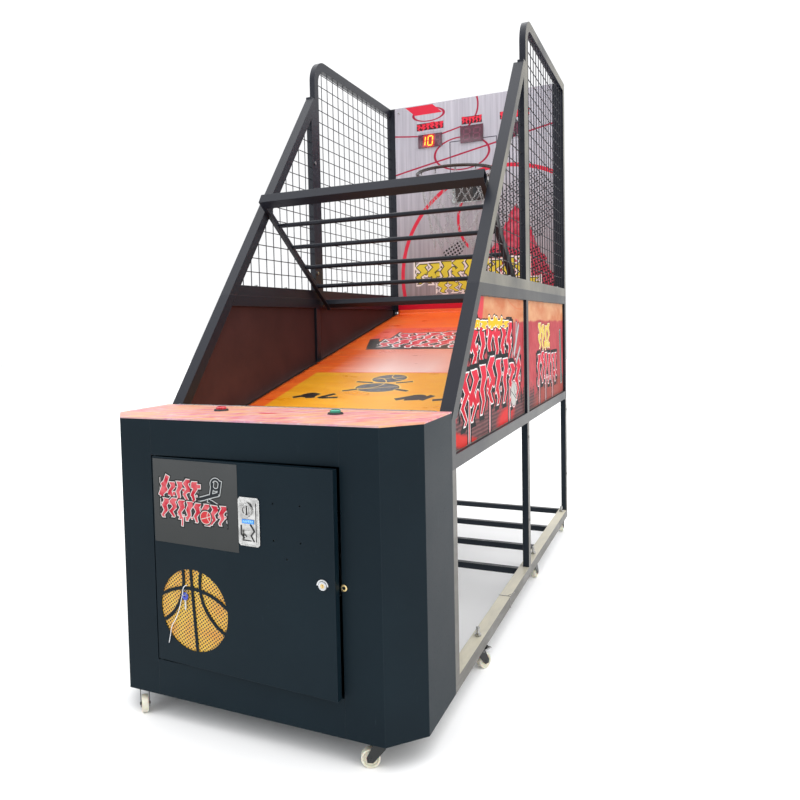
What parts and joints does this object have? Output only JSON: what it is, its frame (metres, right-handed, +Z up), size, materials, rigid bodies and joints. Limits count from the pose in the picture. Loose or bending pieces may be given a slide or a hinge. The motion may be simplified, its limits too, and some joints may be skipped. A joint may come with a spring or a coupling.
{
  "type": "basketball hoop arcade machine",
  "caption": "Coin-operated basketball hoop machine: cabinet with lockable door, sloping ball ramp, mesh side cage, guard rack, backboard with counters and chain-net hoop, on casters.",
  "frame": {"origin": "on the floor at the middle of the frame's footprint", "axes": "+Z up, +Y from the player towards the backboard, +X to the player's right"},
  "size_m": [1.0026, 2.5327, 2.35],
  "materials": {
    "cabinet_paint": "fine-textured powder coat",
    "frame_paint": "satin powder coat",
    "base_paint": "semi-gloss powder coat",
    "mesh_paint": "semi-gloss dipped",
    "panel_print": "printed film outside, painted inside",
    "deck_print": "printed film under clear laminate",
    "trim": "brushed",
    "poster": "printed plate",
    "grille": "perforated, painted",
    "black_plastic": "moulded",
    "red_plastic": "translucent",
    "green_plastic": "translucent",
    "bright_steel": "zinc plated",
    "cam_brass": "plated",
    "box_paint": "painted",
    "board": "printed polycarbonate sheet",
    "led": "smoked window",
    "hoop_paint": "gloss",
    "ramp_wood": "painted plywood",
    "ramp_vinyl": "printed vinyl banner",
    "fork_paint": "satin",
    "wheel_nylon": "moulded",
    "pedal_steel": "zinc plated"
  },
  "bodies": {
    "machine": {"cabinet_corners": "cabinet_paint", "cabinet_front": "cabinet_paint", "cabinet_back": "cabinet_paint", "console_top": "deck_print", "console_trim": "trim", "button_bezels": "black_plastic", "lock_strike": "cam_brass", "control_box": "box_paint", "cash_box": "box_paint", "base_frame": "base_paint", "lower_frame_left": "frame_paint", "lower_frame_right": "frame_paint", "side_panels": "panel_print", "front_frame_left": "frame_paint", "front_frame_right": "frame_paint", "rear_frame_left": "frame_paint", "rear_frame_right": "frame_paint", "mesh_panels": "mesh_paint", "guard_rack": "frame_paint", "frame_bolts": "bright_steel", "backboard_frame": "frame_paint", "backboard": "board", "displays": "led", "hoop_rim": "hoop_paint", "hoop_bracket": "bright_steel", "score_sensor": "black_plastic", "chain_net": "bright_steel", "ramp_supports": "frame_paint", "ramp_deck": "ramp_wood", "ramp_cover": "ramp_vinyl", "caster_stems": "bright_steel"},
    "door": {"door_panel": "cabinet_paint", "poster_plate": "poster", "speaker_grille": "grille", "speaker": "black_plastic", "coin_acceptor": "bright_steel", "lock_body": "bright_steel", "spare_key": "cam_brass"},
    "return_flap": {"coin_return_flap": "bright_steel"},
    "lock_cam": {"lock_cam": "cam_brass"},
    "red_button": {"button_red": "red_plastic"},
    "green_button": {"button_green": "green_plastic"},
    "fork_1": {"caster_fork_1": "fork_paint"},
    "wheel_1": {"caster_wheel_1": "wheel_nylon"},
    "fork_2": {"caster_fork_2": "fork_paint"},
    "wheel_2": {"caster_wheel_2": "wheel_nylon"},
    "fork_3": {"caster_fork_3": "fork_paint"},
    "wheel_3": {"caster_wheel_3": "wheel_nylon"},
    "pedal_1": {"caster_pedal_1": "pedal_steel"},
    "fork_4": {"caster_fork_4": "fork_paint"},
    "wheel_4": {"caster_wheel_4": "wheel_nylon"},
    "pedal_2": {"caster_pedal_2": "pedal_steel"},
    "fork_5": {"caster_fork_5": "fork_paint"},
    "wheel_5": {"caster_wheel_5": "wheel_nylon"},
    "fork_6": {"caster_fork_6": "fork_paint"},
    "wheel_6": {"caster_wheel_6": "wheel_nylon"},
    "fork_7": {"caster_fork_7": "fork_paint"},
    "wheel_7": {"caster_wheel_7": "wheel_nylon"},
    "fork_8": {"caster_fork_8": "fork_paint"},
    "wheel_8": {"caster_wheel_8": "wheel_nylon"}
  },
  "joints": [
    {"name": "door_hinge", "type": "hinge", "parent": "machine", "child": "door", "pos_m": [-0.2825, -1.242, 0.47], "axis": [0, 0, 1], "range_deg": [-100, 3]},
    {"name": "return_flap_hinge", "type": "hinge", "parent": "door", "child": "return_flap", "pos_m": [0.0378, -1.26379, 0.586], "axis": [0.9986, -0.0523, 0], "range_deg": [0, 50]},
    {"name": "lock_turn", "type": "hinge", "parent": "door", "child": "lock_cam", "pos_m": [0.25484, -1.27817, 0.47], "axis": [0.0523, 0.9986, 0], "range_deg": [0, 90]},
    {"name": "red_button_press", "type": "slide", "parent": "machine", "child": "red_button", "axis": [0, 0, -1], "range_m": [0, 0.003], "stiffness_N_per_m": 400, "springref_m": -0.002},
    {"name": "green_button_press", "type": "slide", "parent": "machine", "child": "green_button", "axis": [0, 0, -1], "range_m": [0, 0.003], "stiffness_N_per_m": 400, "springref_m": -0.002},
    {"name": "swivel_1", "type": "hinge", "parent": "machine", "child": "fork_1", "pos_m": [-0.376, -1.218, 0.064], "axis": [0, 0, 1], "continuous": true},
    {"name": "roll_1", "type": "hinge", "parent": "fork_1", "child": "wheel_1", "pos_m": [-0.3596, -1.23687, 0.025], "axis": [-0.7547, -0.6561, 0], "continuous": true},
    {"name": "swivel_2", "type": "hinge", "parent": "machine", "child": "fork_2", "pos_m": [0.376, -1.218, 0.064], "axis": [0, 0, 1], "continuous": true},
    {"name": "roll_2", "type": "hinge", "parent": "fork_2", "child": "wheel_2", "pos_m": [0.35299, -1.22777, 0.025], "axis": [-0.3907, 0.9205, 0], "continuous": true},
    {"name": "swivel_3", "type": "hinge", "parent": "machine", "child": "fork_3", "pos_m": [-0.465, -0.583, 0.064], "axis": [0, 0, 1], "continuous": true},
    {"name": "roll_3", "type": "hinge", "parent": "fork_3", "child": "wheel_3", "pos_m": [-0.47674, -0.56093, 0.025], "axis": [0.8829, 0.4695, 0], "continuous": true},
    {"name": "brake_1", "type": "hinge", "parent": "fork_3", "child": "pedal_1", "pos_m": [-0.4711, -0.57152, 0.0577], "axis": [0.8829, 0.4695, 0], "range_deg": [-20, 0]},
    {"name": "swivel_4", "type": "hinge", "parent": "machine", "child": "fork_4", "pos_m": [0.465, -0.583, 0.064], "axis": [0, 0, 1], "continuous": true},
    {"name": "roll_4", "type": "hinge", "parent": "fork_4", "child": "wheel_4", "pos_m": [0.47674, -0.56093, 0.025], "axis": [0.8829, -0.4695, 0], "continuous": true},
    {"name": "brake_2", "type": "hinge", "parent": "fork_4", "child": "pedal_2", "pos_m": [0.4711, -0.57152, 0.0577], "axis": [0.8829, -0.4695, 0], "range_deg": [-20, 0]},
    {"name": "swivel_5", "type": "hinge", "parent": "machine", "child": "fork_5", "pos_m": [-0.465, 0.372, 0.064], "axis": [0, 0, 1], "continuous": true},
    {"name": "roll_5", "type": "hinge", "parent": "fork_5", "child": "wheel_5", "pos_m": [-0.46674, 0.39694, 0.025], "axis": [0.9976, 0.0698, 0], "continuous": true},
    {"name": "swivel_6", "type": "hinge", "parent": "machine", "child": "fork_6", "pos_m": [0.465, 0.372, 0.064], "axis": [0, 0, 1], "continuous": true},
    {"name": "roll_6", "type": "hinge", "parent": "fork_6", "child": "wheel_6", "pos_m": [0.46674, 0.39694, 0.025], "axis": [0.9976, -0.0698, 0], "continuous": true},
    {"name": "swivel_7", "type": "hinge", "parent": "machine", "child": "fork_7", "pos_m": [-0.465, 1.17, 0.064], "axis": [0, 0, 1], "continuous": true},
    {"name": "roll_7", "type": "hinge", "parent": "fork_7", "child": "wheel_7", "pos_m": [-0.4598, 1.19445, 0.025], "axis": [0.9781, -0.2079, 0], "continuous": true},
    {"name": "swivel_8", "type": "hinge", "parent": "machine", "child": "fork_8", "pos_m": [0.465, 1.17, 0.064], "axis": [0, 0, 1], "continuous": true},
    {"name": "roll_8", "type": "hinge", "parent": "fork_8", "child": "wheel_8", "pos_m": [0.4598, 1.19445, 0.025], "axis": [0.9781, 0.2079, 0], "continuous": true}
  ]
}
